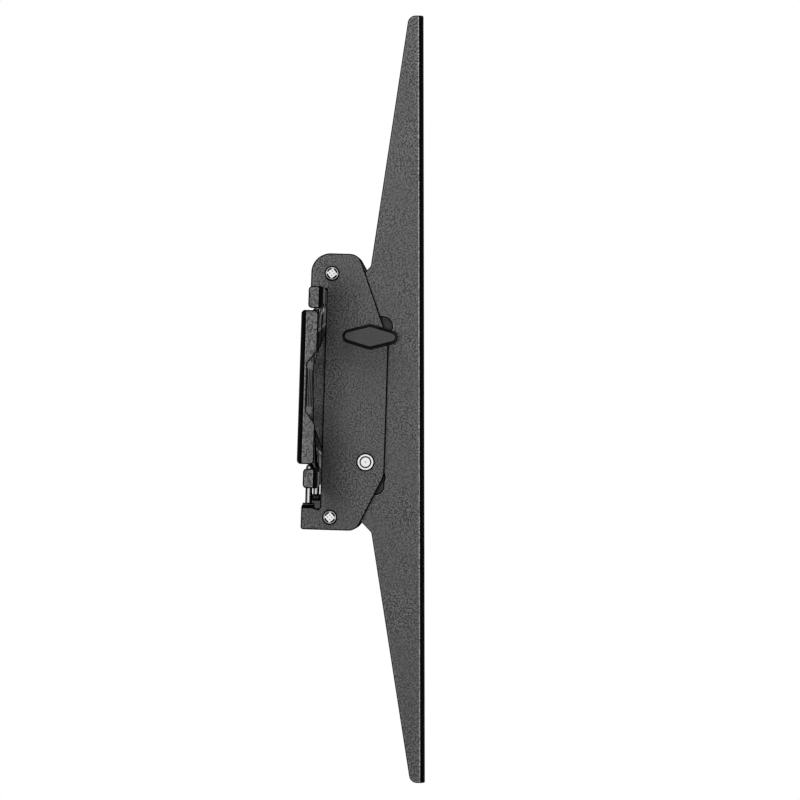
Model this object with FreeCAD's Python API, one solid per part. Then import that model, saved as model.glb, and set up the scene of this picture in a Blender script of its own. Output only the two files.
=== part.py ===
"""Tilting television wall mount of folded steel sheet.

A wall plate carries two hook brackets that slide sideways on its lips. Each bracket carries a
television arm that tilts about an axis in front of the arm, guided by two curved slots.

Millimetres. The origin is the middle of the wall plate's back face, +X is to the right as seen
from the room, +Y points into the wall and +Z is up. Depth is the distance from the wall, along -Y.
Each bracket is drawn for the right-hand side, about X = 0, with its outer side towards +X.
"""
import FreeCAD, Part
import math
import os

# Wall plate: one folded sheet, with its bend measured inside
PLATE_WIDTH = 660.0
PLATE_HEIGHT = 110.8
PLATE_SHEET = 2.0
PLATE_BEND = 1.0
LIP_HEIGHT = 10.2
LIP_DEPTH = 11.8

# Folded ends of the wall plate
END_LENGTH = 6.0
END_FLANGE_DEPTH = 9.4
END_GAP = 1.0
END_ROOT_MARGIN = 3.0
END_RELIEF = 1.2
END_CORNER = 2.2
END_DIP_DEPTH = 4.2
END_DIP_FLOOR = 26.0
END_DIP_MOUTH = 40.0
LIP_RETURN_LENGTH = 8.2
UPPER_RETURN_HEIGHT = 12.2
LOWER_RETURN_HEIGHT = 10.9

# Slots and windows of the wall plate
STUD_SPACING = 406.4
SLOTS_PER_STUD_SPACING = 5
SLOT_ROW_SPACING = 40.0
WALL_SLOT_LENGTH = 50.0
WALL_SLOT_WIDTH = 8.5
WALL_SLOT_END_MARGIN = 14.0
WINDOW_WIDTH = 50.0
WINDOW_HEIGHT = 22.0
WINDOW_CORNER = 6.0

# Hook plates
BRACKET_SPACING = 400.0
HOOK_SHEET = 2.0
HOOK_ABOVE_LIP = 20.2
HOOK_PAST_BOLT = 10.5
INNER_PAST_BOLT = 20.5
HOOK_TOP_REACH = 29.8
HOOK_FOOT_REACH = 33.0
HOOK_SHOULDER_BELOW_BOLT = 1.8
HOOK_HIP_BELOW_PIN = 7.3
HOOK_TOP_BACK_RADIUS = 11.0
HOOK_TOP_FRONT_RADIUS = 7.0
HOOK_SHOULDER_RADIUS = 8.0
HOOK_HIP_RADIUS = 12.0
HOOK_FOOT_RADIUS = 7.0
HOOK_CORNER = 1.5
TOOTH_BACK = 3.4
TOOTH_LENGTH = 7.5
LIP_CLEARANCE = 0.55
TAB_BACK = 1.85
TAB_BELOW_LIP = 12.8
TAB_HEIGHT = 11.55

# Folded flange that carries the locking screw
FLANGE_WIDTH = 7.4
FLANGE_BEND = 0.4
FLANGE_PAST_MIDDLE = 7.0
FLANGE_CORNER = 2.0
COLLAR_DIAMETER = 6.4
COLLAR_HEIGHT = 0.8

# Television arm: one folded channel, depths measured back from its front face
ARM_HEIGHT = 431.0
ARM_WIDTH = 38.0
ARM_SHEET = 2.0
ARM_BEND = 1.3
ARM_TIP_DEPTH = 8.3
ARM_NECK_DEPTH = 29.9
ARM_STEP_DEPTH = 7.6
ARM_STEP_HEIGHT = 8.1
ARM_BACK_PAST_BOLT = 30.75
ARM_SLANT_HEIGHT = 34.4
ARM_BEVEL_DEPTH = 5.35
ARM_BEVEL_HEIGHT = 15.6
ARM_BACK_HEIGHT = 33.4
ARM_BACK_RISE = 2.6
ARM_TIP_RADIUS = 4.5
ARM_OUTLINE_RADIUS = 2.5

# Screw holes for the television
SCREEN_HOLE_DIAMETER = 8.5
SCREEN_HOLES_PER_HALF = 4
SCREEN_END_MARGIN = 15.5
SCREEN_SLOT_LENGTH = 26.0

# Tilt: axis, rest pose and limits, angles positive with the arm's top towards the wall
ARM_MIDDLE_Z = -4.3
BOLT_BEHIND_FACE = 31.75
FACE_TO_AXIS = 10.75
AXIS_BELOW_MIDDLE = 6.7
REST_TILT = 1.9
TILT_BACK = 11.7
TILT_FORWARD = 10.2
SLOT_HALF_WIDTH = 5.2
BOLT_END_GAP = 1.0
PIN_END_GAP = 0.3
PIN_ENTRY_DIAMETER = 10.0
PIN_ENTRY_FORWARD = 5.55
PIN_ENTRY_BELOW = 13.0

# Tilt bolt, slide pin and what they carry
BOLT_DEPTH = 37.5
BOLT_Z = 29.35
PIN_DEPTH = 37.15
PIN_Z = -40.95
BOLT_DIAMETER = 6.0
BOLT_HEAD_DIAMETER = 14.0
BOLT_HEAD_HEIGHT = 3.3
BOLT_HEAD_ROUND = 2.8
PIN_DIAMETER = 5.5
PIN_HEAD_DIAMETER = 9.2
PIN_HEAD_HEIGHT = 1.6
PIN_HEAD_EDGE = 0.5
PIN_GROOVE_WIDTH = 0.8
PIN_GROOVE_DEPTH = 0.7
PIN_DIMPLE_DIAMETER = 1.6
PIN_DIMPLE_DEPTH = 0.6
SLEEVE_DIAMETER = 7.2
WASHER_DIAMETER = 16.0
WASHER_THICKNESS = 0.8
FIT_CLEARANCE = 0.1

# Spacers and their screws
UPPER_SPACER_DEPTH = 15.1
UPPER_SPACER_BELOW_TOP = 11.3
LOWER_SPACER_DEPTH = 18.1
LOWER_SPACER_ABOVE_FOOT = 7.25
SPACER_DIAMETER = 9.0
SCREW_DIAMETER = 4.0
SCREW_REACH = 9.0
SCREW_HEAD_DIAMETER = 8.2
SCREW_HEAD_HEIGHT = 2.6
SCREW_HEAD_ROUND = 1.7
CROSS_LENGTH = 4.8
CROSS_WIDTH = 1.1
CROSS_DEPTH = 1.3
UPPER_CROSS_TURN = 20.0
LOWER_CROSS_TURN = 45.0

# Tilt knob
KNOB_LENGTH = 31.2
KNOB_WIDTH = 14.4
KNOB_FACE_LENGTH = 28.9
KNOB_FACE_WIDTH = 11.5
KNOB_SIDE_ANGLE = 15.5
KNOB_WAIST_RADIUS = 4.0
KNOB_HEIGHT = 12.0
HUB_DIAMETER = 13.0
HUB_HEIGHT = 3.0
INSERT_DIAMETER = 8.4
INSERT_LENGTH = 9.0

# Locking screw
LOCK_BEHIND_LIP = 6.1
LOCK_PAST_LIP = 2.1
LOCK_SCREW_DIAMETER = 4.0
LOCK_TIP_CHAMFER = 1.4
LOCK_HEAD_DIAMETER = 7.6
LOCK_HEAD_HEIGHT = 3.2
LOCK_HEAD_EDGE = 0.6

# Places worked out from the sizes above
PLATE_GAP = ARM_WIDTH + 2 * WASHER_THICKNESS
HOOK_OUTSIDE = PLATE_GAP / 2 + HOOK_SHEET
LIP_TOP = PLATE_HEIGHT / 2
LIP_FOOT = LIP_TOP - LIP_HEIGHT
PANEL_TOP = LIP_FOOT - (LIP_DEPTH - PLATE_SHEET)
HOOK_TOP = LIP_TOP + HOOK_ABOVE_LIP
TAB_TOP = -LIP_TOP - TAB_BELOW_LIP
HOOK_BOTTOM = TAB_TOP - TAB_HEIGHT
UPPER_SPACER_Z = HOOK_TOP - UPPER_SPACER_BELOW_TOP
LOWER_SPACER_Z = HOOK_BOTTOM + LOWER_SPACER_ABOVE_FOOT
LOCK_SCREW_DEPTH = LIP_DEPTH - LOCK_BEHIND_LIP
LOCK_SCREW_TIP_Z = LOCK_PAST_LIP - LIP_FOOT
SCREEN_HOLE_PITCH = (ARM_HEIGHT / 2 - SCREEN_END_MARGIN) / SCREEN_HOLES_PER_HALF
ARM_DEPTH = BOLT_BEHIND_FACE + ARM_BACK_PAST_BOLT
ARM_FACE_DEPTH = BOLT_DEPTH + BOLT_BEHIND_FACE
AXIS_DEPTH = ARM_FACE_DEPTH + FACE_TO_AXIS
AXIS_Z = ARM_MIDDLE_Z - AXIS_BELOW_MIDDLE
FLANGE_UNDER = TAB_TOP + FLANGE_BEND
FLANGE_TOP = FLANGE_UNDER + HOOK_SHEET
SLOT_PITCH = STUD_SPACING / SLOTS_PER_STUD_SPACING
RIGHT, LEFT = 1, -1


def point(x, depth, z):
    """A point from its X, its distance from the wall and its height."""
    return FreeCAD.Vector(x, -depth, z)


def side_plane(x):
    """Places (depth, z) pairs in the upright plane at this X."""
    return lambda depth, z: point(x, depth, z)


def plan_plane(z):
    """Places (x, depth) pairs in the level plane at this height."""
    return lambda x, depth: point(x, depth, z)


def rounded_wire(corners, plane):
    """A closed wire through (u, v, radius) corners, each rounded with its own radius."""
    arcs = {}
    starts = []
    ends = []
    count = len(corners)
    for index, (u, v, radius) in enumerate(corners):
        here = plane(u, v)
        if radius == 0:
            starts.append(here)
            ends.append(here)
            continue
        before = plane(*corners[index - 1][:2]) - here
        after = plane(*corners[(index + 1) % count][:2]) - here
        before.normalize()
        after.normalize()
        half_angle = before.getAngle(after) / 2
        run = radius / math.tan(half_angle)
        bisector = before + after
        bisector.normalize()
        middle = here + bisector * (radius / math.sin(half_angle) - radius)
        starts.append(here + before * run)
        ends.append(here + after * run)
        arcs[index] = Part.Arc(starts[-1], middle, ends[-1]).toShape()
    outline = []
    for index in range(count):
        if index in arcs:
            outline.append(arcs[index])
        following = starts[(index + 1) % count]
        if ends[index].distanceToPoint(following) > Part.Precision.confusion():
            outline.append(Part.LineSegment(ends[index], following).toShape())
    return Part.Wire(outline)


def plate(corners, plane, along):
    """A flat plate: a rounded outline pushed along a vector."""
    return Part.Face(rounded_wire(corners, plane)).extrude(along)


def sheet_corners(line, thickness, bend):
    """The rounded section of a folded sheet.

    The line is one face of the sheet and the sheet lies on its left. Bend is the inside radius.
    """
    steps = []
    for (u0, v0), (u1, v1) in zip(line, line[1:]):
        length = math.hypot(u1 - u0, v1 - v0)
        steps.append(((u1 - u0) / length, (v1 - v0) / length))
    near = []
    far = []
    for index, (u, v) in enumerate(line):
        before = steps[max(index - 1, 0)]
        after = steps[min(index, len(steps) - 1)]
        dot = before[0] * after[0] + before[1] * after[1]
        turn = before[0] * after[1] - before[1] * after[0]
        shift = thickness / (1 + dot)
        across = (-(before[1] + after[1]) * shift, (before[0] + after[0]) * shift)
        at_end = index in (0, len(line) - 1)
        outer = bend + thickness
        near_radius = 0 if at_end else outer if turn > 0 else bend
        far_radius = 0 if at_end else bend if turn > 0 else outer
        near.append((u, v, near_radius))
        far.append((u + across[0], v + across[1], far_radius))
    return near + far[::-1]


def cylinder(diameter, start, along):
    """A round bar from a start point along a vector."""
    return Part.makeCylinder(diameter / 2, along.Length, start, along)


def turned(corners, depth, z):
    """A turned piece on an axis along X: (x, radius, rounding) corners spun about that axis."""
    profile = Part.Face(rounded_wire(corners, lambda x, radius: FreeCAD.Vector(x, 0, radius)))
    solid = profile.revolve(FreeCAD.Vector(), FreeCAD.Vector(1, 0, 0), 360)
    solid.translate(point(0, depth, z))
    return solid


def across(length):
    """A vector along X."""
    return FreeCAD.Vector(length, 0, 0)


def through_bar(diameter, depth, z, x0, x1):
    """A round bar along X between two X values."""
    return cylinder(diameter, point(x0, depth, z), across(x1 - x0))


def joined(pieces):
    """One clean solid from touching pieces."""
    return pieces[0].fuse(pieces[1:]).removeSplitter()


def make_wall_plate():
    """The folded wall plate with its lips, folded ends, slots and windows."""
    half_body = PLATE_WIDTH / 2 - END_LENGTH
    upper = [(PLATE_SHEET, PANEL_TOP), (LIP_DEPTH, LIP_FOOT), (LIP_DEPTH, LIP_TOP)]
    section = [(depth, -z) for depth, z in upper[::-1]] + upper
    body = plate(
        sheet_corners(section, PLATE_SHEET, PLATE_BEND),
        side_plane(-half_body),
        across(2 * half_body),
    )
    pieces = [body]
    for side in (RIGHT, LEFT):
        pieces.append(make_end_flange(side, half_body))
        for up in (1, -1):
            pieces.append(make_lip_return(side, up, half_body))
    return joined(pieces).cut(wall_plate_cuts(half_body))


def make_end_flange(side, half_body):
    """The panel's end folded forward, with a dip in its free edge and ears cut free of the slopes."""
    root = PANEL_TOP - END_ROOT_MARGIN
    ear = LIP_TOP - UPPER_RETURN_HEIGHT - END_GAP
    end = PLATE_WIDTH / 2
    line = [(half_body, 0), (end, 0), (end, END_FLANGE_DEPTH)]
    fold = plate(
        sheet_corners(line, PLATE_SHEET, PLATE_BEND),
        plan_plane(-ear),
        FreeCAD.Vector(0, 0, 2 * ear),
    )
    outline = [
        (0, -ear, END_CORNER),
        (END_FLANGE_DEPTH, -ear, END_CORNER),
        (END_FLANGE_DEPTH, -END_DIP_MOUTH / 2, END_CORNER),
        (END_DIP_DEPTH, -END_DIP_FLOOR / 2, END_CORNER),
        (END_DIP_DEPTH, END_DIP_FLOOR / 2, END_CORNER),
        (END_FLANGE_DEPTH, END_DIP_MOUTH / 2, END_CORNER),
        (END_FLANGE_DEPTH, ear, END_CORNER),
        (0, ear, END_CORNER),
    ]
    flange = fold.common(plate(outline, side_plane(half_body), across(END_LENGTH)))
    reliefs = []
    for low in (root, -ear):
        start = point(half_body, PLATE_SHEET, low)
        reliefs.append(Part.makeBox(END_RELIEF, PLATE_SHEET, ear - root, start))
    flange = flange.cut(reliefs)
    return flange if side == RIGHT else mirrored(flange)


def make_lip_return(side, up, half_body):
    """A lip's end folded back towards the wall."""
    end = PLATE_WIDTH / 2
    line = [(end, LIP_DEPTH - LIP_RETURN_LENGTH), (end, LIP_DEPTH), (half_body, LIP_DEPTH)]
    height = UPPER_RETURN_HEIGHT if up > 0 else LOWER_RETURN_HEIGHT
    foot = LIP_TOP - height
    fold = plate(
        sheet_corners(line, PLATE_SHEET, PLATE_BEND),
        plan_plane(foot),
        FreeCAD.Vector(0, 0, height),
    )
    back = LIP_DEPTH - LIP_RETURN_LENGTH
    outline = [
        (back, foot, END_CORNER),
        (LIP_DEPTH, foot, END_CORNER),
        (LIP_DEPTH, LIP_TOP, 0),
        (back, LIP_TOP, END_CORNER),
    ]
    fold = fold.common(plate(outline, side_plane(half_body), across(END_LENGTH)))
    if up < 0:
        fold = fold.mirror(FreeCAD.Vector(), FreeCAD.Vector(0, 0, 1))
    return fold if side == RIGHT else mirrored(fold)


def wall_plate_cuts(half_body):
    """Two rows of wall slots and the windows between them, cut right through the panel."""
    room = half_body - WALL_SLOT_END_MARGIN - WALL_SLOT_LENGTH / 2
    per_side = int(room / SLOT_PITCH + 1 / 2)
    cuts = []
    for index in range(per_side):
        for side in (RIGHT, LEFT):
            x = side * SLOT_PITCH * (index + 1 / 2)
            cuts.append(panel_cut(x, 0, WINDOW_WIDTH, WINDOW_HEIGHT, WINDOW_CORNER))
            for row in (1, -1):
                z = row * SLOT_ROW_SPACING / 2
                cuts.append(round_slot_x(x, z))
    return cuts


def panel_cut(x, z, width, height, corner):
    """A rounded window through the wall plate's panel."""
    half_width = width / 2
    half_height = height / 2
    outline = [
        (x - half_width, z - half_height, corner),
        (x + half_width, z - half_height, corner),
        (x + half_width, z + half_height, corner),
        (x - half_width, z + half_height, corner),
    ]
    return plate(outline, lambda u, v: point(u, LIP_DEPTH, v), FreeCAD.Vector(0, 2 * LIP_DEPTH, 0))


def round_slot_x(x, z):
    """A slot with round ends through the wall plate's panel, long along X."""
    half_run = (WALL_SLOT_LENGTH - WALL_SLOT_WIDTH) / 2
    radius = WALL_SLOT_WIDTH / 2
    ends = [point(x - half_run, LIP_DEPTH, z), point(x + half_run, LIP_DEPTH, z)]
    return round_slot(ends, radius, FreeCAD.Vector(0, 0, 1), FreeCAD.Vector(0, 2 * LIP_DEPTH, 0))


def round_slot(ends, radius, aside, along):
    """A slot between two end centres, with a direction across it and a vector to push it along."""
    first, last = ends
    run = (last - first).normalize()
    lift = aside * radius
    edges = [
        Part.LineSegment(first + lift, last + lift).toShape(),
        Part.Arc(last + lift, last + run * radius, last - lift).toShape(),
        Part.LineSegment(last - lift, first - lift).toShape(),
        Part.Arc(first - lift, first - run * radius, first + lift).toShape(),
    ]
    return Part.Face(Part.Wire(edges)).extrude(along)


def hook_outline(past_bolt):
    """The outline of a hook plate that reaches this far past the bolt, as (depth, z, radius) corners."""
    reach = BOLT_DEPTH + past_bolt
    recess = LIP_DEPTH + LIP_CLEARANCE
    tooth_front = LIP_DEPTH - PLATE_SHEET - LIP_CLEARANCE
    tooth_end = LIP_TOP - TOOTH_LENGTH
    notch_radius = LIP_CLEARANCE / 2
    shoulder_z = BOLT_Z - HOOK_SHOULDER_BELOW_BOLT
    hip_z = PIN_Z - HOOK_HIP_BELOW_PIN
    return [
        (TOOTH_BACK, HOOK_TOP, HOOK_TOP_BACK_RADIUS),
        (HOOK_TOP_REACH, HOOK_TOP, HOOK_TOP_FRONT_RADIUS),
        (reach, shoulder_z, HOOK_SHOULDER_RADIUS),
        (reach, hip_z, HOOK_HIP_RADIUS),
        (HOOK_FOOT_REACH, HOOK_BOTTOM, HOOK_FOOT_RADIUS),
        (TAB_BACK, HOOK_BOTTOM, HOOK_CORNER),
        (TAB_BACK, TAB_TOP, 0),
        (recess, TAB_TOP, HOOK_CORNER),
        (recess, LIP_TOP, notch_radius),
        (tooth_front, LIP_TOP, notch_radius),
        (tooth_front, tooth_end, HOOK_CORNER),
        (TOOTH_BACK, tooth_end, HOOK_CORNER),
    ]


def spacer_places():
    """Depth and height of the upper and the lower spacer."""
    return [(UPPER_SPACER_DEPTH, UPPER_SPACER_Z), (LOWER_SPACER_DEPTH, LOWER_SPACER_Z)]


def drilled_hook_plate(x0, past_bolt):
    """A hook plate whose left face is at this X, with its round holes."""
    x1 = x0 + HOOK_SHEET
    holes = []
    for depth, z in spacer_places():
        holes.append(through_bar(SCREW_DIAMETER + 2 * FIT_CLEARANCE, depth, z, x0, x1))
    holes.append(through_bar(BOLT_DIAMETER + 2 * FIT_CLEARANCE, BOLT_DEPTH, BOLT_Z, x0, x1))
    holes.append(through_bar(PIN_DIAMETER + 2 * FIT_CLEARANCE, PIN_DEPTH, PIN_Z, x0, x1))
    return plate(hook_outline(past_bolt), side_plane(x0), across(HOOK_SHEET)).cut(holes)


def make_hook_plate_outer():
    """The outer hook plate, with the flange folded inwards for the locking screw."""
    flat = drilled_hook_plate(PLATE_GAP / 2, HOOK_PAST_BOLT)
    back = LOCK_SCREW_DEPTH - FLANGE_WIDTH / 2
    front = back + FLANGE_WIDTH
    line = [(HOOK_OUTSIDE, TAB_TOP), (HOOK_OUTSIDE, FLANGE_TOP), (-FLANGE_PAST_MIDDLE, FLANGE_TOP)]
    fold = plate(
        sheet_corners(line, HOOK_SHEET, FLANGE_BEND),
        lambda x, z: point(x, back, z),
        point(0, FLANGE_WIDTH, 0),
    )
    plan = [
        (HOOK_OUTSIDE, back, 0),
        (HOOK_OUTSIDE, front, 0),
        (-FLANGE_PAST_MIDDLE, front, FLANGE_CORNER),
        (-FLANGE_PAST_MIDDLE, back, FLANGE_CORNER),
    ]
    fold = fold.common(plate(plan, plan_plane(TAB_TOP), FreeCAD.Vector(0, 0, FLANGE_TOP - TAB_TOP)))
    collar = lock_bar(COLLAR_DIAMETER, FLANGE_TOP, FLANGE_TOP + COLLAR_HEIGHT)
    tapped = lock_bar(
        LOCK_SCREW_DIAMETER + 2 * FIT_CLEARANCE,
        TAB_TOP,
        FLANGE_TOP + COLLAR_HEIGHT,
    )
    return joined([flat, fold, collar]).cut(tapped)


def lock_bar(diameter, z0, z1):
    """A round bar on the locking screw's axis between two heights."""
    return cylinder(diameter, point(0, LOCK_SCREW_DEPTH, z0), FreeCAD.Vector(0, 0, z1 - z0))


def make_hook_plate_inner():
    """The inner hook plate: it stands behind the arm's slots and its square hole holds the tilt bolt."""
    flat = drilled_hook_plate(-HOOK_OUTSIDE, INNER_PAST_BOLT)
    return flat.cut(square_bar(BOLT_DIAMETER + 2 * FIT_CLEARANCE))


def square_bar(side):
    """A square bar on the tilt bolt's axis through the inner hook plate."""
    half = side / 2
    start = point(-HOOK_OUTSIDE, BOLT_DEPTH + half, BOLT_Z - half)
    return Part.makeBox(HOOK_SHEET, side, side, start)


def arm_outline():
    """The side outline of the arm as (depth behind the front face, height, radius) corners."""
    back = ARM_BACK_HEIGHT / 2
    shoulder = back + ARM_BEVEL_HEIGHT
    step = shoulder + ARM_SLANT_HEIGHT
    step_depth = ARM_NECK_DEPTH + ARM_STEP_DEPTH
    halves = []
    for up in (1, -1):
        halves.append(
            [
                (0, up * ARM_HEIGHT / 2, 0),
                (ARM_TIP_DEPTH, up * ARM_HEIGHT / 2, ARM_TIP_RADIUS),
                (ARM_NECK_DEPTH, up * (step + ARM_STEP_HEIGHT), ARM_OUTLINE_RADIUS),
                (step_depth, up * step, ARM_OUTLINE_RADIUS),
                (ARM_DEPTH - ARM_BEVEL_DEPTH, up * shoulder + ARM_BACK_RISE, ARM_OUTLINE_RADIUS),
                (ARM_DEPTH, up * back + ARM_BACK_RISE, ARM_OUTLINE_RADIUS),
            ]
        )
    upper, lower = halves
    return upper + lower[::-1]


def make_arm():
    """The folded television arm at its rest tilt."""
    half_width = ARM_WIDTH / 2
    front = ARM_FACE_DEPTH
    back = front - ARM_DEPTH
    line = [(half_width, back), (half_width, front), (-half_width, front), (-half_width, back)]
    channel = plate(
        sheet_corners(line, ARM_SHEET, ARM_BEND),
        plan_plane(ARM_MIDDLE_Z - ARM_HEIGHT / 2),
        FreeCAD.Vector(0, 0, ARM_HEIGHT),
    )
    profile = plate(
        arm_outline(),
        lambda depth, height: point(-half_width, front - depth, ARM_MIDDLE_Z + height),
        across(ARM_WIDTH),
    )
    arm = channel.common(profile).cut(screen_holes())
    arm.rotate(point(0, AXIS_DEPTH, AXIS_Z), FreeCAD.Vector(1, 0, 0), -REST_TILT)
    return arm.cut(tilt_slots())


def screen_holes():
    """Round holes and upright slots along the arm's front for the television's screws."""
    radius = SCREEN_HOLE_DIAMETER / 2
    into = FreeCAD.Vector(0, 2 * ARM_SHEET, 0)
    start = ARM_FACE_DEPTH + ARM_SHEET / 2
    half_run = (SCREEN_SLOT_LENGTH - SCREEN_HOLE_DIAMETER) / 2
    cuts = []
    for up in (1, -1):
        for index in range(SCREEN_HOLES_PER_HALF):
            hole_z = ARM_MIDDLE_Z + up * SCREEN_HOLE_PITCH * (index + 1)
            cuts.append(cylinder(SCREEN_HOLE_DIAMETER, point(0, start, hole_z), into))
            slot_z = hole_z - up * SCREEN_HOLE_PITCH / 2
            ends = [point(0, start, slot_z - half_run), point(0, start, slot_z + half_run)]
            cuts.append(round_slot(ends, radius, FreeCAD.Vector(1, 0, 0), into))
    return cuts


def tilt_slots():
    """The two curved slots about the tilt axis, and the wider end that lets the pin's sleeve in."""
    half_arm = ARM_WIDTH / 2
    pin_slot = SLEEVE_DIAMETER / 2 + PIN_END_GAP
    entry_depth = PIN_DEPTH + PIN_ENTRY_FORWARD
    entry_z = PIN_Z - PIN_ENTRY_BELOW
    return [
        arc_slot(BOLT_DEPTH, BOLT_Z, SLOT_HALF_WIDTH, BOLT_END_GAP),
        arc_slot(PIN_DEPTH, PIN_Z, pin_slot, PIN_END_GAP),
        through_bar(PIN_ENTRY_DIAMETER, entry_depth, entry_z, -half_arm, half_arm),
    ]


def arc_slot(depth, z, slot_half, end_gap):
    """A curved slot, this wide from its middle, that lets the arm swing past a pin at this place."""
    reach = AXIS_DEPTH - depth
    rise = z - AXIS_Z
    radius = math.hypot(reach, rise)
    rest_angle = math.atan2(rise, reach)
    spare = (slot_half - SLEEVE_DIAMETER / 2 - end_gap) / radius
    top = rest_angle + math.radians(TILT_BACK - REST_TILT) - spare
    bottom = rest_angle - math.radians(TILT_FORWARD + REST_TILT) + spare
    half_width = ARM_WIDTH / 2

    def at(distance, angle):
        out = distance * math.cos(angle)
        return point(-half_width, AXIS_DEPTH - out, AXIS_Z + distance * math.sin(angle))

    inside = radius - slot_half
    outside = radius + slot_half
    middle = (top + bottom) / 2
    top_cap = at(radius, top) + (at(1, top + math.pi / 2) - at(0, 0)) * slot_half
    bottom_cap = at(radius, bottom) + (at(1, bottom - math.pi / 2) - at(0, 0)) * slot_half
    edges = [
        Part.Arc(at(outside, bottom), at(outside, middle), at(outside, top)).toShape(),
        Part.Arc(at(outside, top), top_cap, at(inside, top)).toShape(),
        Part.Arc(at(inside, top), at(inside, middle), at(inside, bottom)).toShape(),
        Part.Arc(at(inside, bottom), bottom_cap, at(outside, bottom)).toShape(),
    ]
    return Part.Face(Part.Wire(edges)).extrude(across(ARM_WIDTH))


def make_spacer(depth, z):
    """A tapped tube between the two hook plates."""
    half = PLATE_GAP / 2
    bar = through_bar(SPACER_DIAMETER, depth, z, -half, half)
    return bar.cut(through_bar(SCREW_DIAMETER + 2 * FIT_CLEARANCE, depth, z, -half, half))


def make_cross_screws():
    """The four round-headed screws that hold the hook plates to the spacers."""
    head = HOOK_OUTSIDE + SCREW_HEAD_HEIGHT
    tip = PLATE_GAP / 2 - SCREW_REACH
    corners = [
        (tip, 0, 0),
        (tip, SCREW_DIAMETER / 2, 0),
        (HOOK_OUTSIDE, SCREW_DIAMETER / 2, 0),
        (HOOK_OUTSIDE, SCREW_HEAD_DIAMETER / 2, 0),
        (head, SCREW_HEAD_DIAMETER / 2, SCREW_HEAD_ROUND),
        (head, 0, 0),
    ]
    screws = []
    for (depth, z), turn in zip(spacer_places(), (UPPER_CROSS_TURN, LOWER_CROSS_TURN)):
        screw = turned(corners, depth, z).cut(cross_recess(depth, z, head, turn))
        screws += [screw, mirrored(screw)]
    return Part.makeCompound(screws)


def cross_recess(depth, z, head, turn):
    """The two crossing grooves sunk into a screw head whose top is at this X."""
    grooves = []
    for high, wide in ((CROSS_LENGTH, CROSS_WIDTH), (CROSS_WIDTH, CROSS_LENGTH)):
        start = point(head - CROSS_DEPTH, depth + wide / 2, z - high / 2)
        groove = Part.makeBox(CROSS_DEPTH, wide, high, start)
        groove.rotate(point(head, depth, z), FreeCAD.Vector(1, 0, 0), turn)
        grooves.append(groove)
    return grooves


def make_tilt_bolt():
    """The tilt bolt: round head, square neck in the inner plate, shank out to the knob."""
    head = HOOK_OUTSIDE + BOLT_HEAD_HEIGHT
    end = HOOK_OUTSIDE + INSERT_LENGTH
    corners = [
        (-head, 0, 0),
        (-head, BOLT_HEAD_DIAMETER / 2, BOLT_HEAD_ROUND),
        (-HOOK_OUTSIDE, BOLT_HEAD_DIAMETER / 2, 0),
        (-HOOK_OUTSIDE, BOLT_DIAMETER / 2, 0),
        (end, BOLT_DIAMETER / 2, 0),
        (end, 0, 0),
    ]
    return joined([turned(corners, BOLT_DEPTH, BOLT_Z), square_bar(BOLT_DIAMETER)])


def make_slide_pin():
    """The slide pin, riveted over at both ends with a ring groove and a dimple in each head."""
    head = HOOK_OUTSIDE + PIN_HEAD_HEIGHT
    groove_outer = PIN_DIAMETER / 2 + PIN_GROOVE_WIDTH
    groove_floor = head - PIN_GROOVE_DEPTH
    half = [
        (HOOK_OUTSIDE, PIN_DIAMETER / 2, 0),
        (HOOK_OUTSIDE, PIN_HEAD_DIAMETER / 2, 0),
        (head, PIN_HEAD_DIAMETER / 2, PIN_HEAD_EDGE),
        (head, groove_outer, 0),
        (groove_floor, groove_outer, 0),
        (groove_floor, PIN_DIAMETER / 2, 0),
        (head, PIN_DIAMETER / 2, 0),
        (head, PIN_DIMPLE_DIAMETER / 2, 0),
        (head - PIN_DIMPLE_DEPTH, 0, 0),
    ]
    other = [(-x, radius, rounding) for x, radius, rounding in half[::-1]]
    return turned(other + half, PIN_DEPTH, PIN_Z)


def make_sleeve(inner_diameter, depth, z):
    """A tube around the bolt or pin that keeps the hook plates apart and runs in the arm's slots."""
    half = PLATE_GAP / 2
    bar = through_bar(SLEEVE_DIAMETER, depth, z, -half, half)
    return bar.cut(through_bar(inner_diameter + 2 * FIT_CLEARANCE, depth, z, -half, half))


def make_friction_washers():
    """Four thin washers between the arm and the hook plates, at the bolt and at the pin."""
    inner = ARM_WIDTH / 2
    bore = SLEEVE_DIAMETER + 2 * FIT_CLEARANCE
    washers = []
    for depth, z in ((BOLT_DEPTH, BOLT_Z), (PIN_DEPTH, PIN_Z)):
        disc = through_bar(WASHER_DIAMETER, depth, z, inner, inner + WASHER_THICKNESS)
        washer = disc.cut(through_bar(bore, depth, z, inner, inner + WASHER_THICKNESS))
        washers += [washer, mirrored(washer)]
    return Part.makeCompound(washers)


def diamond(length, width, x):
    """A rounded diamond of this visible length and width, upright at this X on the bolt's axis."""
    angle = math.radians(KNOB_SIDE_ANGLE)
    waist = width / 2 + KNOB_WAIST_RADIUS * (1 / math.cos(angle) - 1)
    tip = waist / math.tan(angle)
    tip_radius = (tip - length / 2) / (1 / math.sin(angle) - 1)
    corners = [
        (BOLT_DEPTH - tip, BOLT_Z, tip_radius),
        (BOLT_DEPTH, BOLT_Z - waist, KNOB_WAIST_RADIUS),
        (BOLT_DEPTH + tip, BOLT_Z, tip_radius),
        (BOLT_DEPTH, BOLT_Z + waist, KNOB_WAIST_RADIUS),
    ]
    return rounded_wire(corners, side_plane(x))


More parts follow.
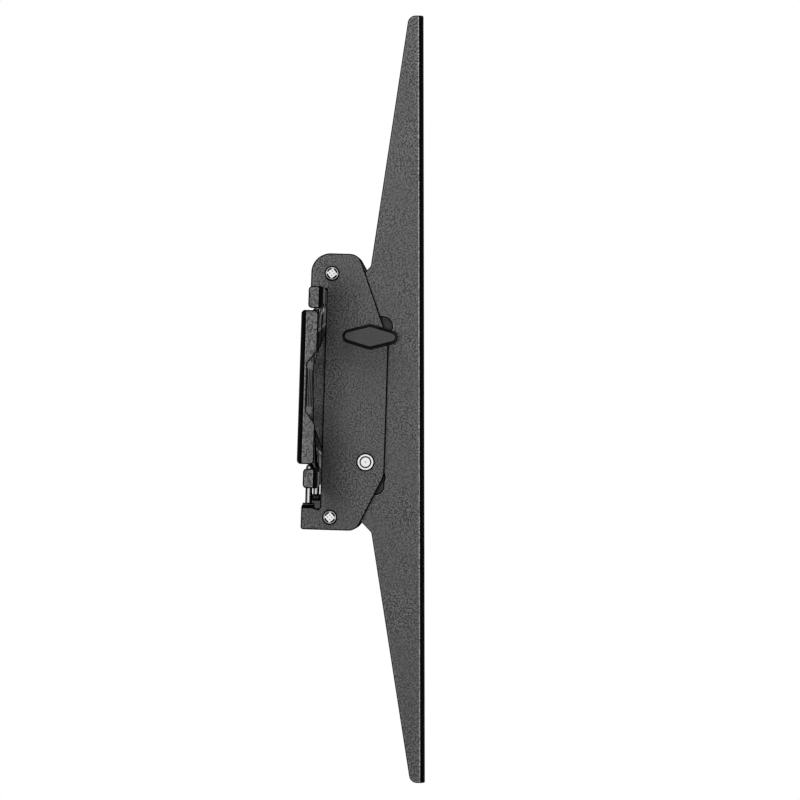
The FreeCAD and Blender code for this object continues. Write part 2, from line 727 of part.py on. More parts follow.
def make_knob():
    """The moulded diamond knob on its round hub, bored for the insert."""
    base = HOOK_OUTSIDE + HUB_HEIGHT
    face = base + KNOB_HEIGHT
    wings = Part.makeLoft(
        [diamond(KNOB_LENGTH, KNOB_WIDTH, base), diamond(KNOB_FACE_LENGTH, KNOB_FACE_WIDTH, face)],
        True,
        True,
    )
    hub = through_bar(HUB_DIAMETER, BOLT_DEPTH, BOLT_Z, HOOK_OUTSIDE, base)
    bore = through_bar(
        INSERT_DIAMETER + 2 * FIT_CLEARANCE,
        BOLT_DEPTH,
        BOLT_Z,
        HOOK_OUTSIDE,
        HOOK_OUTSIDE + INSERT_LENGTH + FIT_CLEARANCE,
    )
    return joined([wings, hub]).cut(bore)


def make_knob_insert():
    """The threaded insert in the knob."""
    end = HOOK_OUTSIDE + INSERT_LENGTH
    bar = through_bar(INSERT_DIAMETER, BOLT_DEPTH, BOLT_Z, HOOK_OUTSIDE, end)
    return bar.cut(through_bar(BOLT_DIAMETER + 2 * FIT_CLEARANCE, BOLT_DEPTH, BOLT_Z, HOOK_OUTSIDE, end))


def make_lock_screw():
    """The locking screw: head under the folded flange, tip behind the lower lip."""
    head_bottom = FLANGE_UNDER - LOCK_HEAD_HEIGHT
    radius = LOCK_SCREW_DIAMETER / 2
    shank = lock_bar(LOCK_SCREW_DIAMETER, FLANGE_UNDER, LOCK_SCREW_TIP_Z - LOCK_TIP_CHAMFER)
    tip_base = point(0, LOCK_SCREW_DEPTH, LOCK_SCREW_TIP_Z - LOCK_TIP_CHAMFER)
    tip = Part.makeCone(radius, radius - LOCK_TIP_CHAMFER, LOCK_TIP_CHAMFER, tip_base)
    head = lock_bar(LOCK_HEAD_DIAMETER, head_bottom, FLANGE_UNDER)
    head_middle = FLANGE_UNDER - LOCK_HEAD_HEIGHT / 2
    lower_rim = [edge for edge in head.Edges if edge.BoundBox.ZMax < head_middle]
    return joined([head.makeFillet(LOCK_HEAD_EDGE, lower_rim), shank, tip])


def mirrored(shape):
    """The same shape on the other side of X = 0."""
    return shape.mirror(FreeCAD.Vector(), FreeCAD.Vector(1, 0, 0))


def bracket_pieces():
    """Every piece of the right-hand bracket and arm by name, about X = 0."""
    return {
        "tv_arm": make_arm(),
        "hook_plate_outer": make_hook_plate_outer(),
        "hook_plate_inner": make_hook_plate_inner(),
        "upper_spacer": make_spacer(UPPER_SPACER_DEPTH, UPPER_SPACER_Z),
        "lower_spacer": make_spacer(LOWER_SPACER_DEPTH, LOWER_SPACER_Z),
        "cross_screws": make_cross_screws(),
        "tilt_bolt": make_tilt_bolt(),
        "bolt_sleeve": make_sleeve(BOLT_DIAMETER, BOLT_DEPTH, BOLT_Z),
        "slide_pin": make_slide_pin(),
        "pin_sleeve": make_sleeve(PIN_DIAMETER, PIN_DEPTH, PIN_Z),
        "friction_washers": make_friction_washers(),
        "tilt_knob": make_knob(),
        "knob_insert": make_knob_insert(),
        "lock_screw": make_lock_screw(),
    }


def main():
    os.makedirs("parts", exist_ok=True)
    nodes = {"wall_plate": make_wall_plate()}
    for name, shape in bracket_pieces().items():
        for prefix, side in (("right", RIGHT), ("left", LEFT)):
            placed = shape.copy() if side == RIGHT else mirrored(shape)
            placed.translate(across(side * BRACKET_SPACING / 2))
            nodes[f"{prefix}_{name}"] = placed
    for name, shape in nodes.items():
        shape.exportStep(f"parts/{name}.step")


main()
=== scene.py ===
import math

import bmesh
import bpy
from mathutils import Matrix, Vector


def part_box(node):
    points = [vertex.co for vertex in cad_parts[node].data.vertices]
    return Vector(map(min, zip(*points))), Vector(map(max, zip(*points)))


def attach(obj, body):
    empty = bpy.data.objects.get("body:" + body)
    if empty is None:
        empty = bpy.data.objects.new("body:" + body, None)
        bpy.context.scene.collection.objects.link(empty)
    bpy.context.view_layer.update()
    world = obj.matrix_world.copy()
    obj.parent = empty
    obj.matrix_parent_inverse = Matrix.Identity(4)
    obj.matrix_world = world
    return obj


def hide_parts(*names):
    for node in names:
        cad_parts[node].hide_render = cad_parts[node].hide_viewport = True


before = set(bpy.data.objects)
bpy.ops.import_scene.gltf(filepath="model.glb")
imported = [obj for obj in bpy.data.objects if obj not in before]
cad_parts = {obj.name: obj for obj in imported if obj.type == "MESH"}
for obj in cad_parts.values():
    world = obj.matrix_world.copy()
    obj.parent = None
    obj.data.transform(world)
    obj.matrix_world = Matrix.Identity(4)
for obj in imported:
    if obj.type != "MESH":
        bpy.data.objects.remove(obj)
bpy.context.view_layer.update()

SIDES = ("left", "right")
WHITE = (1.0, 1.0, 1.0, 1.0)

# Camera: level, looking along +X at the mount's left end, rolled by the lean that the picture shows
CAMERA_PLACE = (-4.5218, -0.05543, -0.0055)
CAMERA_DISTANCE = 4.300
PICTURE_WIDTH = 0.4488
CAMERA_ROLL = math.radians(1.8)
SENSOR_WIDTH = 36.0

# Noise: the part of its range that is used, and how many finer layers it has
NOISE_SPAN = (0.30, 0.70)
PLAIN_NOISE = 0.0
FINE_NOISE = 2.0
CLOUDY_NOISE = 3.0

# Powder coat: its grey, and how strongly and how finely it is speckled, in patches and in clouds; the
# speckle is partly painted glints of its grain and partly its random tone
COAT_GREY = 0.105
COAT_GLOSS = 0.04
COAT_ROUGHNESS = (0.72, 0.55)
COAT_BUMP = 0.25
COAT_BUMP_HEIGHT = 0.0002
GLINT_SPECKLE_SWING = 0.54
SPECKLE_SCALE = 1150.0
SPECKLE_SPAN = (0.36, 0.64)
PATCH_SCALE = 48.0
PATCH_SPAN = (0.40, 0.60)
PATCH_LEVELS = (0.55, 1.0)
CLOUD_SCALE = 14.0
CLOUD_LEVELS = (0.92, 1.0)

# Painted shade and highlight at the coat's folds and rounded edges, by how far the surface is tilted
# away from sideways: a painted highlight line beside each fold, then painted black shade across it;
# the colour is lifted so that the painted highlight can be brighter than the plain coat
FOLD_LIFT = 3.0
FLAT_TILT = 0.02
FOLD_FADE = 0.03
PLATE_HIGHLIGHT_TILT = 0.05
ARM_HIGHLIGHT_TILT = 0.17
EDGE_ON_TILT = 0.9965

# Zinc plating: its streaks, and its painted shade from surfaces that face along to those that face
# sideways, near black on the fasteners' sides and slopes and slight on the plain pieces
STREAK_SCALE = 900.0
PLATING_LEVELS = (0.82, 0.95)
ZINC_ROUGHNESS = (0.22, 0.38)
ZINC_BUMP = 0.08
FINE_BUMP_HEIGHT = 0.0001
PLAIN_EDGE_TINT = 1.0
FASTENER_EDGE_TINT = 0.1
PLAIN_PAINTED_TONES = ((0.0, 0.95), (1.0, 1.0))
FASTENER_PAINTED_TONES = ((0.0, 0.008), (0.80, 0.008), (0.90, 0.22), (0.95, 0.55), (0.985, 1.0))

# Knob plastic: its speckle, and its painted tones, from painted black shade on its sides over a
# painted highlight on its rim to the face
KNOB_GLOSS = 0.06
KNOB_GRAIN_SCALE = 1500.0
KNOB_LEVELS = (0.112, 0.150)
KNOB_ROUGHNESS = (0.58, 0.46)
KNOB_BUMP = 0.1
KNOB_PAINTED_TONES = ((0.0, 0.0), (0.955, 0.0), (0.970, 0.7), (0.985, 0.7), (0.995, 0.5))

# Nylon of the washers and discs, darkened as painted shade for the inside of the arm
NYLON_GLOSS = 0.2
NYLON_SCALE = 300.0
NYLON_SHADED_LEVELS = (0.031, 0.048)
NYLON_ROUGHNESS = (0.40, 0.55)

# Brass of the knob inserts
BRASS_SCALE = 1200.0
BRASS_DARK = (0.58, 0.44, 0.21, 1.0)
BRASS_LIGHT = (0.72, 0.55, 0.26, 1.0)
BRASS_ROUGHNESS = (0.25, 0.40)

# Rounded edges of the sheet pieces and the knobs
SHEET_EDGE = 0.0008
KNOB_EDGE = 0.0006
EDGE_STEPS = 3
FLAT_FACE_WEIGHT = 100
WELD_DISTANCE = 0.000002
FLAT_ANGLE = math.radians(0.3)
SHARP_ANGLE = math.radians(40)

# Cross-head screws: head, broken ring and dimples along the cross
SCREW_BASE_RADIUS = 0.0043
SCREW_TOP_RADIUS = 0.0036
SCREW_HEAD_HEIGHT = 0.0026
SCREW_SHANK_RADIUS = 0.0020
SCREW_RIM_DROP = 0.00034
RING_RADIUS = 0.0026
RING_HALF_WIDTH = 0.00042
RING_DEPTH = 0.0014
BRIDGE_HALF_WIDTH = 0.0006
BRIDGE_FADE = 0.0003
DIMPLE_PLACE = 0.0012
DIMPLE_RADIUS = 0.00045
DIMPLE_DEPTH = 0.00022
UPPER_TURN = math.radians(8)
LOWER_TURN = math.radians(2)
HEAD_ROWS = 32
HEAD_STEPS = 96

# Slide pins: riveted heads with a ring groove and a dimple
PIN_HEAD_HEIGHT = 0.0016
PIN_SHANK_RADIUS = 0.00275
PIN_BASE_RADIUS = 0.0052
PIN_TOP_RADIUS = 0.00435
PIN_RING_INNER = 0.0034
PIN_GROOVE_RADIUS = 0.0030
PIN_DISC_RADIUS = 0.0026
PIN_GROOVE_DEPTH = 0.0009
PIN_DIMPLE_RADIUS = 0.00045
PIN_DIMPLE_DEPTH = 0.0004

# Locking screws: ringed shank, round head and chamfered tip
LOCK_RADIUS = 0.0020
LOCK_HEAD_RADIUS = 0.0038
LOCK_HEAD_HEIGHT = 0.0032
LOCK_HEAD_EDGE = 0.0006
LOCK_TIP_LENGTH = 0.0014
THREAD_PITCH = 0.0007
THREAD_DEPTH = 0.00012

# Friction discs that stand behind the arm's curved slots: a guessed part, dark as painted shade for
# the inside of the arm
ARM_INSIDE = 0.0170
DISC_GAP = 0.0003
DISC_THICKNESS = 0.0008
DISC_BORE_RADIUS = 0.0037
BOLT_DISC_RADIUS = 0.0155
PIN_DISC_OUTER_RADIUS = 0.0200

# Running room between the friction washers and the arm that slides past them
SLIDE_GAP = 0.00003

# Steps round a turned piece
TURN_STEPS = 64

# Light: a dim even room, a soft key beside the camera, another above it, and soft fills all round
AMBIENT = 0.15
SIDE_KEY_PLACE = (-0.90, 0.066, 0.020)
SIDE_KEY_SIZE = 0.10
SIDE_KEY_POWER = 2.5
TOP_KEY_PLACE = (-0.60, 0.00, 0.60)
TOP_KEY_SIZE = 0.50
TOP_KEY_POWER = 2.4
FILL_PLACES = ((0.7, -1.9, 0.9), (1.9, -0.5, 0.9), (0.3, 1.9, 0.9))
FILL_SIZE = 1.5
FILL_POWER = 30.0
LIGHT_TARGET = Vector((0.0, -0.05, 0.05))

# Floor: pale, well below the mount, fading out from this share of its radius to its rim
FLOOR_HEIGHT = -0.75
FLOOR_RADIUS = 3.0
FLOOR_COLOUR = (0.9, 0.9, 0.9, 1.0)
FLOOR_ROUGHNESS = 0.9
FLOOR_FADE_START = 0.3

# The finishes of the CAD pieces that show as they are
NODE_FINISH = {
    "upper_spacer": "zinc_steel",
    "lower_spacer": "zinc_steel",
    "tilt_bolt": "zinc_steel",
    "bolt_sleeve": "zinc_steel",
    "pin_sleeve": "zinc_steel",
    "knob_insert": "insert_brass",
}


def add_node(tree, kind, inputs=None, **settings):
    """A new shader node with its settings, its inputs set to values or linked to other outputs."""
    node = tree.nodes.new(kind)
    for name, value in settings.items():
        setattr(node, name, value)
    for socket, value in (inputs or {}).items():
        if isinstance(value, bpy.types.NodeSocket):
            tree.links.new(value, node.inputs[socket])
        else:
            node.inputs[socket].default_value = value
    return node


def arithmetic(tree, operation, *operands):
    """One step of arithmetic on numbers."""
    return add_node(tree, "ShaderNodeMath", dict(enumerate(operands)), operation=operation).outputs[0]


def ramp(tree, source, stops):
    """A ramp of grey levels, as (place, level) stops."""
    node = add_node(tree, "ShaderNodeValToRGB", {"Fac": source})
    elements = node.color_ramp.elements
    while len(elements) < len(stops):
        elements.new(1.0)
    for element, (place, level) in zip(elements, stops):
        element.position = place
        element.color = (level, level, level, 1.0)
    return node.outputs["Color"]


def spread(tree, source, levels, span=NOISE_SPAN):
    """Noise spread over two levels, from the low end of its span to the high end."""
    return ramp(tree, source, list(zip(span, levels)))


def noise(tree, coordinates, scale, detail):
    """Noise on a piece's own coordinates, with this many waves to the metre."""
    place = coordinates.outputs["Object"]
    node = add_node(tree, "ShaderNodeTexNoise", {"Vector": place, "Scale": scale, "Detail": detail})
    return node.outputs["Fac"]


def new_material(name, **shader_values):
    """A material with constant values on its shader, and its coordinates node."""
    material = bpy.data.materials.new(name)
    material.use_nodes = True
    tree = material.node_tree
    shader = tree.nodes["Principled BSDF"]
    for socket, value in shader_values.items():
        shader.inputs[socket.replace("_", " ")].default_value = value
    return material, tree, shader, add_node(tree, "ShaderNodeTexCoord")


def side_facing(tree, coordinates):
    """How squarely a surface faces sideways, from 0 to 1, by the piece's own axes."""
    parts = add_node(tree, "ShaderNodeSeparateXYZ", {0: coordinates.outputs["Normal"]})
    return arithmetic(tree, "ABSOLUTE", parts.outputs["X"])


def bump(tree, shader, height, strength, distance):
    """Relief on a shader from a height."""
    inputs = {"Height": height, "Strength": strength, "Distance": distance}
    node = add_node(tree, "ShaderNodeBump", inputs)
    tree.links.new(node.outputs["Normal"], shader.inputs["Normal"])


def coated_steel(name, highlight_tilt):
    """Fine-textured dark powder coat: speckled in patches, painted black shade in its folds and on its
    rounded edges, a painted highlight line beside them.

    The painted highlight line beside a fold ends, and the painted black shade begins, where the
    surface is tilted by the given highlight tilt.
    """
    material, tree, shader, coordinates = new_material(name, Specular_IOR_Level=COAT_GLOSS)
    grain = noise(tree, coordinates, SPECKLE_SCALE, PLAIN_NOISE)
    speckle = spread(tree, grain, (0.0, 1.0), SPECKLE_SPAN)
    patches = noise(tree, coordinates, PATCH_SCALE, FINE_NOISE)
    strength = spread(tree, patches, PATCH_LEVELS, PATCH_SPAN)
    drift = spread(tree, noise(tree, coordinates, CLOUD_SCALE, CLOUDY_NOISE), CLOUD_LEVELS)
    facing_squared = arithmetic(tree, "POWER", side_facing(tree, coordinates), 2.0)
    tilt = arithmetic(tree, "SQRT", arithmetic(tree, "SUBTRACT", 1.0, facing_squared))
    plain = 1 / FOLD_LIFT
    # painted highlight line beside each fold, then painted black shade in the fold and on the rounded
    # edges
    highlight_line = [(FLAT_TILT + FOLD_FADE / 2, 1.0), (highlight_tilt, 1.0), (highlight_tilt + FOLD_FADE, 0.0)]
    fold_shade_and_highlight = ramp(tree, tilt, [(FLAT_TILT, plain), *highlight_line, (EDGE_ON_TILT, 0.0), (1.0, plain)])
    # the speckle is partly painted glints of the grain and partly its random tone
    swing = arithmetic(tree, "MULTIPLY_ADD", speckle, 2 * GLINT_SPECKLE_SWING, -GLINT_SPECKLE_SWING)
    level = arithmetic(tree, "MULTIPLY_ADD", swing, strength, 1.0)
    shade = arithmetic(tree, "MULTIPLY", arithmetic(tree, "MULTIPLY", level, drift), fold_shade_and_highlight)
    colour = arithmetic(tree, "MULTIPLY", shade, FOLD_LIFT * COAT_GREY)
    tree.links.new(colour, shader.inputs["Base Color"])
    tree.links.new(spread(tree, grain, COAT_ROUGHNESS), shader.inputs["Roughness"])
    bump(tree, shader, grain, COAT_BUMP, COAT_BUMP_HEIGHT)
    return material


def zinc_steel(name, edge_tint, painted_tones):
    """Bright zinc plating with fine streaks, with painted shade by how squarely it faces sideways."""
    tint = (edge_tint, edge_tint, edge_tint, 1.0)
    material, tree, shader, coordinates = new_material(name, Metallic=1.0, Specular_Tint=tint)
    streaks = noise(tree, coordinates, STREAK_SCALE, CLOUDY_NOISE)
    plating = spread(tree, streaks, PLATING_LEVELS)
    # painted shade: darker the less squarely the surface faces sideways
    painted_tone = ramp(tree, side_facing(tree, coordinates), painted_tones)
    tree.links.new(arithmetic(tree, "MULTIPLY", plating, painted_tone), shader.inputs["Base Color"])
    tree.links.new(spread(tree, streaks, ZINC_ROUGHNESS), shader.inputs["Roughness"])
    bump(tree, shader, streaks, ZINC_BUMP, FINE_BUMP_HEIGHT)
    return material


def knob_plastic():
    """Satin black moulded plastic with a fine spark texture, painted black shade on its sides and a
    painted highlight on its rim.
    """
    material, tree, shader, coordinates = new_material(
        "satin_black_plastic", Specular_IOR_Level=KNOB_GLOSS
    )
    grain = noise(tree, coordinates, KNOB_GRAIN_SCALE, FINE_NOISE)
    speckle = spread(tree, grain, KNOB_LEVELS)
    # painted black shade on the sides, a painted highlight on the rim
    painted_tone = ramp(tree, side_facing(tree, coordinates), KNOB_PAINTED_TONES)
    tree.links.new(arithmetic(tree, "MULTIPLY", speckle, painted_tone), shader.inputs["Base Color"])
    tree.links.new(spread(tree, grain, KNOB_ROUGHNESS), shader.inputs["Roughness"])
    bump(tree, shader, grain, KNOB_BUMP, FINE_BUMP_HEIGHT)
    return material


def washer_plastic():
    """Moulded nylon, slightly clouded, darkened as painted shade for the inside of the arm."""
    material, tree, shader, coordinates = new_material("moulded_nylon", Specular_IOR_Level=NYLON_GLOSS)
    cloud = noise(tree, coordinates, NYLON_SCALE, CLOUDY_NOISE)
    # darkened as painted shade for what shows inside the arm through its slots
    tree.links.new(spread(tree, cloud, NYLON_SHADED_LEVELS), shader.inputs["Base Color"])
    tree.links.new(spread(tree, cloud, NYLON_ROUGHNESS), shader.inputs["Roughness"])
    return material


def insert_brass():
    """Turned brass with fine tool marks."""
    material, tree, shader, coordinates = new_material("turned_brass", Metallic=1.0)
    marks = noise(tree, coordinates, BRASS_SCALE, FINE_NOISE)
    node = add_node(tree, "ShaderNodeValToRGB", {"Fac": marks})
    dark, light = node.color_ramp.elements
    dark.position, light.position = NOISE_SPAN
    dark.color = BRASS_DARK
    light.color = BRASS_LIGHT
    tree.links.new(node.outputs["Color"], shader.inputs["Base Color"])
    tree.links.new(spread(tree, marks, BRASS_ROUGHNESS), shader.inputs["Roughness"])
    return material


MATERIALS = {
    # the plates' coat and the arm's coat differ in how wide the painted highlight line beside their
    # folds is
    "coated_steel": coated_steel("fine_textured_powder_coat", PLATE_HIGHLIGHT_TILT),
    "arm_coat_wide_highlight": coated_steel("arm_powder_coat_painted_highlight", ARM_HIGHLIGHT_TILT),
    "zinc_steel": zinc_steel("bright_zinc", PLAIN_EDGE_TINT, PLAIN_PAINTED_TONES),
    # the fasteners get near-black painted shade on their sides and slopes
    "zinc_fastener": zinc_steel("zinc_fastener", FASTENER_EDGE_TINT, FASTENER_PAINTED_TONES),
    "knob_plastic": knob_plastic(),
    "washer_plastic": washer_plastic(),
    "insert_brass": insert_brass(),
}


def new_piece(name, shape, finish, body, *nodes):
    """A finished piece from a bmesh, riding on a body and standing for CAD nodes."""
    for face in shape.faces:
        face.smooth = True
    mesh = bpy.data.meshes.new(name)
    shape.to_mesh(mesh)
    shape.free()
    piece = bpy.data.objects.new(name, mesh)
    bpy.context.scene.collection.objects.link(piece)
    mesh.materials.append(MATERIALS[finish])
    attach(piece, body)
    if nodes:
        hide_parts(*nodes)
    return piece


def welded(node):
    """A bmesh of a CAD node with its faces joined."""
    shape = bmesh.new()
    shape.from_mesh(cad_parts[node].data)
    bmesh.ops.remove_doubles(shape, verts=shape.verts, dist=WELD_DISTANCE)
    return shape


def rounded_copy(node, finish, body, width, face_only=False):
    """A copy of a CAD piece whose sharp edges, or those of its outward face only, are rounded."""
    shape = welded(node)
    bmesh.ops.dissolve_limit(shape, angle_limit=FLAT_ANGLE, verts=shape.verts, edges=shape.edges)
    outward = max(abs(vert.co.x) for vert in shape.verts) - WELD_DISTANCE
    weights = shape.edges.layers.float.new("bevel_weight_edge")
    for edge in shape.edges:
        chosen = not face_only or all(abs(vert.co.x) > outward for vert in edge.verts)
        edge[weights] = float(chosen and edge.calc_face_angle(0) > SHARP_ANGLE)
    piece = new_piece(node + "_rounded", shape, finish, body, node)
    edges = piece.modifiers.new("rounded_edges", "BEVEL")
    edges.width = width
    edges.segments = EDGE_STEPS
    edges.limit_method = "WEIGHT"
    edges.use_clamp_overlap = False
    edges.loop_slide = False
    normals = piece.modifiers.new("flat_faces_stay_flat", "WEIGHTED_NORMAL")
    normals.weight = FLAT_FACE_WEIGHT


def middle(node):
    """The middle of a CAD node's box."""
    low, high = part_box(node)
    return (Vector(low) + Vector(high)) / 2


def solid_boxes(node):
    """The boxes of the separate solids in a CAD node, as (low, high) corners."""
    shape = welded(node)
    left = set(shape.verts)
    boxes = []
    for start in shape.verts:
        if start not in left:
            continue
        left.remove(start)
        found = [start]
        for vert in found:
            for edge in vert.link_edges:
                other = edge.other_vert(vert)
                if other in left:
                    left.remove(other)
                    found.append(other)
        places = [vert.co for vert in found]
        low = Vector([min(place[axis] for place in places) for axis in range(3)])
        high = Vector([max(place[axis] for place in places) for axis in range(3)])
        boxes.append((low, high))
    shape.free()
    return boxes


def skin(shape, rows):
    """Faces between rows of points that run round an axis."""
    rings = [[shape.verts.new(place) for place in row] for row in rows]
    for first, second in zip(rings, rings[1:]):
        for index in range(len(first)):
            after = (index + 1) % len(first)
            shape.faces.new((first[index], first[after], second[after], second[index]))


def round_row(along, radius, steps):
    """Points round the X axis at one place along it."""
    turns = [math.tau * step / steps for step in range(steps)]
    return [(along, radius * math.cos(turn), radius * math.sin(turn)) for turn in turns]


def closed(shape, place, flip=1):
    """The shape welded, mirrored along X where flip is -1, moved to its place and facing outwards."""
    bmesh.ops.remove_doubles(shape, verts=shape.verts, dist=WELD_DISTANCE)
    for vert in shape.verts:
        vert.co = Vector((flip * vert.co.x, vert.co.y, vert.co.z)) + place
    bmesh.ops.recalc_face_normals(shape, faces=shape.faces)


def crisp(shape):
    """Keeps the edges between steep faces crisp."""
    for edge in shape.edges:
        edge.smooth = edge.calc_face_angle(0) < SHARP_ANGLE


def turned(profile):
    """A bmesh of a turned piece about the X axis from (along, radius) points."""
    shape = bmesh.new()
    skin(shape, [round_row(along, radius, TURN_STEPS) for along, radius in profile])
    return shape


def head_height(radius, angle, turn):
    """How high a screw head stands at this radius and angle, with its cross turned by so much."""
    if radius >= SCREW_TOP_RADIUS:
        share = (SCREW_BASE_RADIUS - radius) / (SCREW_BASE_RADIUS - SCREW_TOP_RADIUS)
        return share * (SCREW_HEAD_HEIGHT - SCREW_RIM_DROP)
    height = SCREW_HEAD_HEIGHT
    if radius > RING_RADIUS:
        height -= SCREW_RIM_DROP * (radius - RING_RADIUS) / (SCREW_TOP_RADIUS - RING_RADIUS)
    along_arm = abs(radius * math.cos(angle - turn))
    beside_arm = abs(radius * math.sin(angle - turn))
    near, far = sorted((along_arm, beside_arm))
    ring = max(0.0, 1 - abs(radius - RING_RADIUS) / RING_HALF_WIDTH)
    unbridged = min(1.0, max(0.0, (near - BRIDGE_HALF_WIDTH) / BRIDGE_FADE))
    dimple = max(0.0, 1 - math.hypot(near, far - DIMPLE_PLACE) / DIMPLE_RADIUS)
    return height - ring * unbridged * RING_DEPTH - dimple * DIMPLE_DEPTH


def screw(shank_length, turn):
    """A cross-head screw about the X axis, its head standing up from X = 0."""
    shape = bmesh.new()
    rows = []
    for index in range(HEAD_ROWS + 1):
        radius = SCREW_BASE_RADIUS * index / HEAD_ROWS
        row = []
        for step in range(HEAD_STEPS):
            angle = math.tau * step / HEAD_STEPS
            up = head_height(radius, angle, turn)
            row.append((up, radius * math.cos(angle), radius * math.sin(angle)))
        rows.append(row)
    rows.append(round_row(0, SCREW_SHANK_RADIUS, HEAD_STEPS))
    rows.append(round_row(-shank_length, SCREW_SHANK_RADIUS, HEAD_STEPS))
    rows.append(round_row(-shank_length, 0, HEAD_STEPS))
    skin(shape, rows)
    return shape


def add_part(whole, part):
    """Joins one bmesh into another."""
    mesh = bpy.data.meshes.new("part")
    part.to_mesh(mesh)
    part.free()
    whole.from_mesh(mesh)
    bpy.data.meshes.remove(mesh)


def cross_screws(side):
    """The four cross-head screws of a bracket."""
    node = side + "_cross_screws"
    centre = middle(node)
    whole = bmesh.new()
    for low, high in solid_boxes(node):
        place = (low + high) / 2
        outward = 1 if place.x > centre.x else -1
        head_end = high.x if outward > 0 else low.x
        shank = (high.x - low.x) - SCREW_HEAD_HEIGHT
        part = screw(shank, UPPER_TURN if place.z > centre.z else LOWER_TURN)
        closed(part, Vector((head_end - outward * SCREW_HEAD_HEIGHT, place.y, place.z)), outward)
        add_part(whole, part)
    crisp(whole)
    new_piece(node + "_detailed", whole, "zinc_fastener", side + "_bracket", node)


def slide_pin(side):
    """The slide pin of a bracket, with a ring groove and a dimple in each riveted head."""
    node = side + "_slide_pin"
    low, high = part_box(node)
    face = (high[0] - low[0]) / 2
    plate = face - PIN_HEAD_HEIGHT
    half = [
        (plate, PIN_SHANK_RADIUS),
        (plate, PIN_BASE_RADIUS),
        (face, PIN_TOP_RADIUS),
        (face, PIN_RING_INNER),
        (face - PIN_GROOVE_DEPTH, PIN_GROOVE_RADIUS),
        (face, PIN_DISC_RADIUS),
        (face, PIN_DIMPLE_RADIUS),
        (face - PIN_DIMPLE_DEPTH, 0),
    ]
    shape = turned([(-along, radius) for along, radius in half[::-1]] + half)
    closed(shape, middle(node))
    crisp(shape)
    new_piece(node + "_detailed", shape, "zinc_fastener", side + "_bracket", node)


def lock_screw(side):
    """The locking screw of a bracket, its thread made of rings."""
    node = side + "_lock_screw"
    low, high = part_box(node)
    centre = middle(node)
    length = high[2] - low[2]
    shank_end = length - LOCK_TIP_LENGTH
    profile = [
        (0, 0),
        (0, LOCK_HEAD_RADIUS - LOCK_HEAD_EDGE),
        (LOCK_HEAD_EDGE, LOCK_HEAD_RADIUS),
        (LOCK_HEAD_HEIGHT, LOCK_HEAD_RADIUS),
        (LOCK_HEAD_HEIGHT, LOCK_RADIUS),
    ]
    threads = int((shank_end - LOCK_HEAD_HEIGHT) / THREAD_PITCH)
    for index in range(threads):
        crest = LOCK_HEAD_HEIGHT + THREAD_PITCH * (index + 1)
        profile.append((crest - THREAD_PITCH / 2, LOCK_RADIUS - THREAD_DEPTH))
        profile.append((crest, LOCK_RADIUS))
    profile += [(shank_end, LOCK_RADIUS), (length, LOCK_RADIUS - LOCK_TIP_LENGTH), (length, 0)]
    shape = turned(profile)
    upright = Matrix.Rotation(-math.pi / 2, 3, "Y")
    bmesh.ops.rotate(shape, verts=shape.verts, cent=(0, 0, 0), matrix=upright)
    closed(shape, Vector((centre.x, centre.y, low[2])))
    new_piece(node + "_detailed", shape, "zinc_fastener", side + "_lock", node)


def friction_shade_discs(side, name, node, radius):
    """A pair of thin dark discs round a sleeve, inside the arm, behind its curved slots: a guessed
    part that also paints the shade inside the arm.
    """
    far = ARM_INSIDE - DISC_GAP
    near = ARM_INSIDE - DISC_GAP - DISC_THICKNESS
    edge = radius - DISC_THICKNESS / 2
    loop = [
        (near, DISC_BORE_RADIUS),
        (near, edge),
        (near + DISC_THICKNESS / 2, radius),
        (far, edge),
        (far, DISC_BORE_RADIUS),
        (near, DISC_BORE_RADIUS),
    ]
    whole = bmesh.new()
    for outward in (1, -1):
        part = turned(loop)
        closed(part, middle(node), outward)
        add_part(whole, part)
    crisp(whole)
    new_piece(f"{side}_{name}", whole, "washer_plastic", side + "_bracket")


def friction_washers(side):
    """The washers between hook plates and arm, a hair off the arm that slides past them."""
    node = side + "_friction_washers"
    washer_low, washer_high = solid_boxes(node)[0]
    thickness = washer_high.x - washer_low.x
    low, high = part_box(node)
    centre = middle(node)
    shape = welded(node)
    for vert in shape.verts:
        outward = vert.co.x - centre.x
        if abs(outward) < (high[0] - low[0] - thickness) / 2:
            vert.co.x += math.copysign(SLIDE_GAP, outward)
    crisp(shape)
    new_piece(node + "_seated", shape, "washer_plastic", side + "_bracket", node)


def softbox(place, size, power):
    """A square soft light aimed at the mount, not seen by the camera."""
    data = bpy.data.lights.new("softbox", "AREA")
    data.size = size
    data.energy = power
    light = bpy.data.objects.new("softbox", data)
    light.location = place
    light.rotation_euler = (LIGHT_TARGET - Vector(place)).to_track_quat("-Z", "Y").to_euler()
    light.visible_camera = False
    light.visible_glossy = False
    bpy.context.scene.collection.objects.link(light)


def pale_world():
    """A world that shows white and lights the mount evenly."""
    world = bpy.data.worlds.new("pale_room")
    world.use_nodes = True
    tree = world.node_tree
    path = add_node(tree, "ShaderNodeLightPath")
    seen = path.outputs["Is Camera Ray"]
    for kind in ("Is Glossy Ray", "Is Transmission Ray"):
        seen = arithmetic(tree, "MAXIMUM", seen, path.outputs[kind])
    strength = arithmetic(tree, "MULTIPLY_ADD", seen, 1.0 - AMBIENT, AMBIENT)
    background = tree.nodes["Background"]
    background.inputs["Color"].default_value = WHITE
    tree.links.new(strength, background.inputs["Strength"])
    bpy.context.scene.world = world


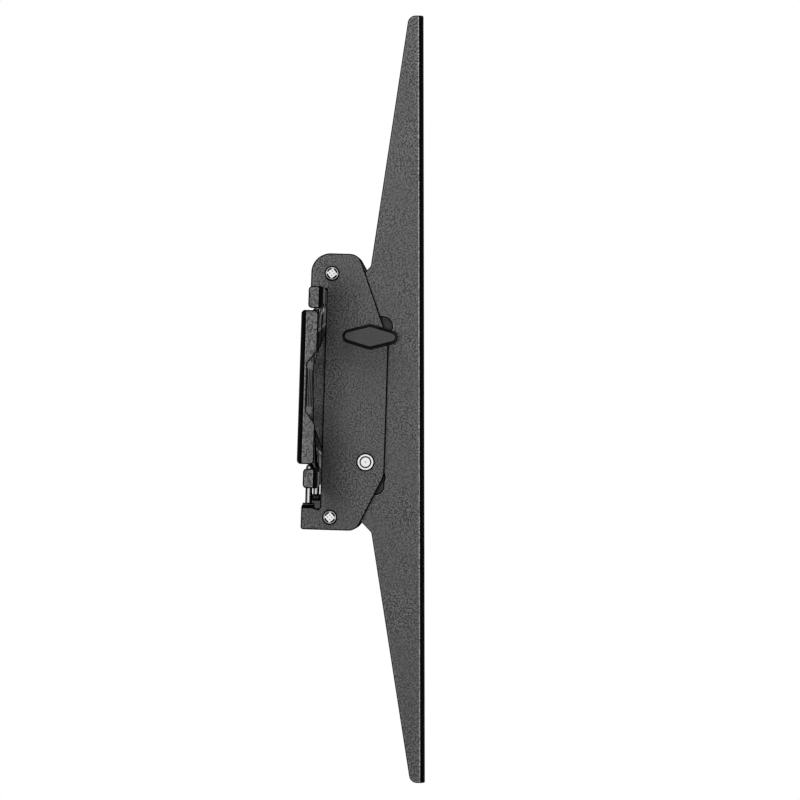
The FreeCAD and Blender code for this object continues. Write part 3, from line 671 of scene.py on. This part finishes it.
def pale_floor():
    """A round pale floor well below the mount that fades out towards its rim."""
    shape = bmesh.new()
    bmesh.ops.create_circle(shape, cap_ends=True, radius=FLOOR_RADIUS, segments=TURN_STEPS)
    mesh = bpy.data.meshes.new("floor")
    shape.to_mesh(mesh)
    shape.free()
    floor = bpy.data.objects.new("floor", mesh)
    floor.location.z = FLOOR_HEIGHT
    bpy.context.scene.collection.objects.link(floor)
    material, tree, shader, coordinates = new_material("pale_floor", Roughness=FLOOR_ROUGHNESS)
    shader.inputs["Base Color"].default_value = FLOOR_COLOUR
    measure = {0: coordinates.outputs["Object"]}
    distance = add_node(tree, "ShaderNodeVectorMath", measure, operation="LENGTH").outputs["Value"]
    share = arithmetic(tree, "DIVIDE", distance, FLOOR_RADIUS)
    fade = ramp(tree, share, [(FLOOR_FADE_START, 1.0), (1.0, 0.0)])
    tree.links.new(fade, shader.inputs["Alpha"])
    mesh.materials.append(material)


def photo_camera():
    """The camera at the photograph's place."""
    data = bpy.data.cameras.new("camera")
    data.sensor_width = SENSOR_WIDTH
    data.lens = SENSOR_WIDTH * CAMERA_DISTANCE / PICTURE_WIDTH
    camera = bpy.data.objects.new("camera", data)
    cosine = math.cos(CAMERA_ROLL)
    sine = math.sin(CAMERA_ROLL)
    turn = Matrix(((0, 0, -1), (-cosine, sine, 0), (sine, cosine, 0))).to_4x4()
    camera.matrix_world = Matrix.Translation(CAMERA_PLACE) @ turn
    bpy.context.scene.collection.objects.link(camera)
    bpy.context.scene.camera = camera


for side in SIDES:
    body = side + "_bracket"
    rounded_copy(f"{side}_tv_arm", "arm_coat_wide_highlight", f"{side}_arm", SHEET_EDGE)
    rounded_copy(f"{side}_hook_plate_outer", "coated_steel", body, SHEET_EDGE)
    rounded_copy(f"{side}_hook_plate_inner", "coated_steel", body, SHEET_EDGE)
    rounded_copy(f"{side}_tilt_knob", "knob_plastic", f"{side}_knob", KNOB_EDGE, face_only=True)
    cross_screws(side)
    slide_pin(side)
    lock_screw(side)
    friction_washers(side)
    # dark discs: a guessed part that also paints the shade inside the arm behind its slots
    friction_shade_discs(side, "bolt_discs", f"{side}_bolt_sleeve", BOLT_DISC_RADIUS)
    friction_shade_discs(side, "pin_discs", f"{side}_pin_sleeve", PIN_DISC_OUTER_RADIUS)
rounded_copy("wall_plate", "coated_steel", "wall_plate", SHEET_EDGE)

for side in SIDES:
    for name, slot in NODE_FINISH.items():
        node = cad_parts[f"{side}_{name}"]
        node.data.materials.clear()
        node.data.materials.append(MATERIALS[slot])

softbox(SIDE_KEY_PLACE, SIDE_KEY_SIZE, SIDE_KEY_POWER)
softbox(TOP_KEY_PLACE, TOP_KEY_SIZE, TOP_KEY_POWER)
for place in FILL_PLACES:
    softbox(place, FILL_SIZE, FILL_POWER)
pale_world()
pale_floor()
photo_camera()
bpy.context.scene.view_settings.view_transform = "Standard"
